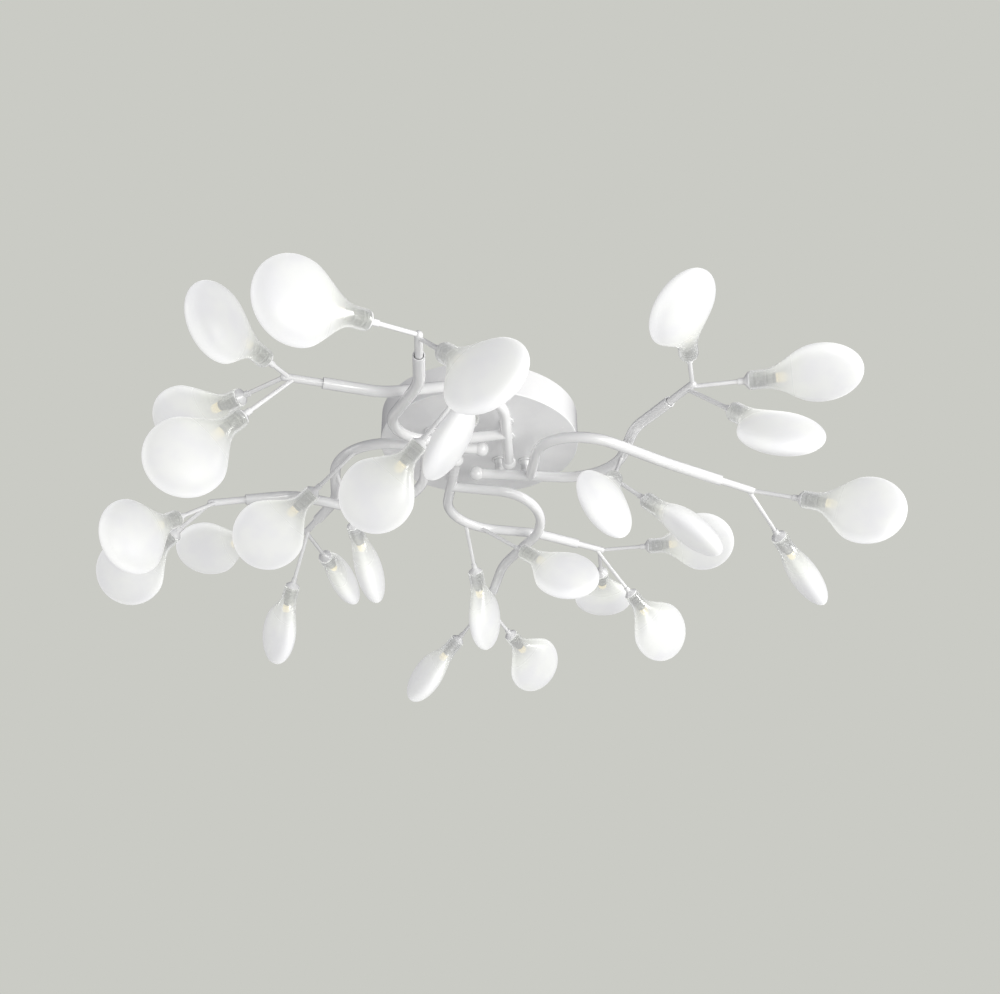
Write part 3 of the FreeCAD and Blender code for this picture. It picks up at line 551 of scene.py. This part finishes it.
def postPlaces():
    # Z of each place points down from the canopy's underside along the post
    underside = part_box("canopy_shell")[0].z
    middle = Vector((sum(postTrim["outs"]) / 2, postTrim["side"], 0))
    for quarter, turn in branchTurns.values():
        for out in postTrim["outs"]:
            spot = Vector((out, postTrim["side"], 0)) - middle
            spot = Matrix.Rotation(math.radians(turn), 3, "Z") @ spot + middle
            spot = Matrix.Rotation(math.radians(quarter), 3, "Z") @ spot * mm
            spot.z = underside
            yield Matrix.Translation(spot) @ Matrix.Rotation(math.pi, 4, "X")


def makePostTrim():
    part = postTrim
    r = part["collarRadius"]
    high = part["collarHeight"]
    collar = [(0.02, r - 0.4), (0.4, r), (high - 0.7, r), (high - 0.2, r - 0.25),
              (high, r - 0.8), (high + 0.05, r - 1.4), (high - 0.2, r - 1.7)]
    thread = []
    for i in range(round((part["threadTo"] - part["threadFrom"]) / part["pitch"])):
        low = part["threadFrom"] + i * part["pitch"]
        thread += [(low, part["threadRoot"]),
                   (low + part["crestFrom"] * part["pitch"], part["threadCrest"]),
                   (low + part["crestTo"] * part["pitch"], part["threadCrest"])]
    thread.append((part["threadTo"], part["threadRoot"]))
    bm = bmesh.new()
    for place in postPlaces():
        for rows in (collar, thread):
            addLathe(bm, place, rows, part["sides"], 0)
    bmesh.ops.recalc_face_normals(bm, faces=bm.faces)
    piece = meshObject("postTrim", bm, [slotFinishes["white_lacquer"]])
    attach(piece, "frame")


makePostTrim()
print("post collars and threads made")


studio = {
    "backdrop": (0.591, 0.597, 0.558), "ambient": 0.26, "ambientTone": (0.96, 0.95, 1.0),
    "throughGlass": 0.8, "floorDrop": -2.2, "floorSize": 14.0, "floorTone": (0.82, 0.82, 0.8),
    "floorRoughness": 0.8, "floorGlow": 0.2, "floorGlowTone": (1, 1, 0.985),
}


def makeBackdrop():
    # one tone that the camera sees, a dimmer one that lights, a brighter one seen through glass
    world = bpy.data.worlds.new("studio")
    bpy.context.scene.world = world
    world.use_nodes = True
    tree = world.node_tree
    seen = tree.nodes["Background"]
    seen.inputs["Color"].default_value = (*studio["backdrop"], 1)
    lighting = addNode(tree, "ShaderNodeBackground", Strength=studio["ambient"])
    lighting.inputs["Color"].default_value = (*studio["ambientTone"], 1)
    glassy = addNode(tree, "ShaderNodeBackground", Strength=studio["throughGlass"])
    path = tree.nodes.new("ShaderNodeLightPath")
    indirect = tree.nodes.new("ShaderNodeMixShader")
    tree.links.new(path.outputs["Is Transmission Ray"], indirect.inputs["Fac"])
    tree.links.new(lighting.outputs["Background"], indirect.inputs[1])
    tree.links.new(glassy.outputs["Background"], indirect.inputs[2])
    mix = tree.nodes.new("ShaderNodeMixShader")
    tree.links.new(path.outputs["Is Camera Ray"], mix.inputs["Fac"])
    tree.links.new(indirect.outputs["Shader"], mix.inputs[1])
    tree.links.new(seen.outputs["Background"], mix.inputs[2])
    tree.links.new(mix.outputs["Shader"], tree.nodes["World Output"].inputs["Surface"])


def makeFloor():
    bm = bmesh.new()
    half = studio["floorSize"] / 2
    corners = [bm.verts.new((x, y, studio["floorDrop"]))
               for x, y in ((-half, -half), (half, -half), (half, half), (-half, half))]
    bm.faces.new(corners)
    paint = makePlastic("paleFloor", studio["floorTone"], studio["floorRoughness"])
    shader = paint.node_tree.nodes["Principled BSDF"]
    shader.inputs["Emission Color"].default_value = (*studio["floorGlowTone"], 1)
    shader.inputs["Emission Strength"].default_value = studio["floorGlow"]
    floor = meshObject("floor", bm, [paint], False)


lights = {
    "key": {"at": (1.0, -1.4, -0.7), "size": 0.8, "power": 18.0},
    "right": {"at": (1.9, -0.5, 0.0), "size": 0.8, "power": 27.0},
    "left": {"at": (-2.0, -0.8, 0.2), "size": 1.2, "power": 8.0},
}
lightTone = (1.0, 1.0, 0.975)
lightAim = (0, 0, -0.1)


def makeLights():
    for name, light in lights.items():
        data = bpy.data.lights.new(f"{name}Light", "AREA")
        data.shape = "SQUARE"
        data.size = light["size"]
        data.energy = light["power"]
        data.color = lightTone
        lamp = bpy.data.objects.new(f"{name}Light", data)
        lamp.location = light["at"]
        aim = Vector(lightAim) - Vector(light["at"])
        lamp.rotation_euler = aim.to_track_quat("-Z", "Y").to_euler()
        bpy.context.scene.collection.objects.link(lamp)


# the lean is in radians above level
view = {"at": (0.0209, -0.9567, -0.615), "lean": 0.501, "lens": 39.63, "sensor": 36.0}


def makeCamera():
    data = bpy.data.cameras.new("photoCamera")
    data.lens = view["lens"]
    data.sensor_width = view["sensor"]
    camera = bpy.data.objects.new("photoCamera", data)
    camera.location = view["at"]
    camera.rotation_euler = (math.pi / 2 + view["lean"], 0, 0)
    bpy.context.scene.collection.objects.link(camera)
    bpy.context.scene.camera = camera


makeBackdrop()
makeFloor()
makeLights()
makeCamera()
bpy.context.scene.view_settings.view_transform = "Standard"
print("backdrop, floor, lights and camera set")

bpy.context.view_layer.update()
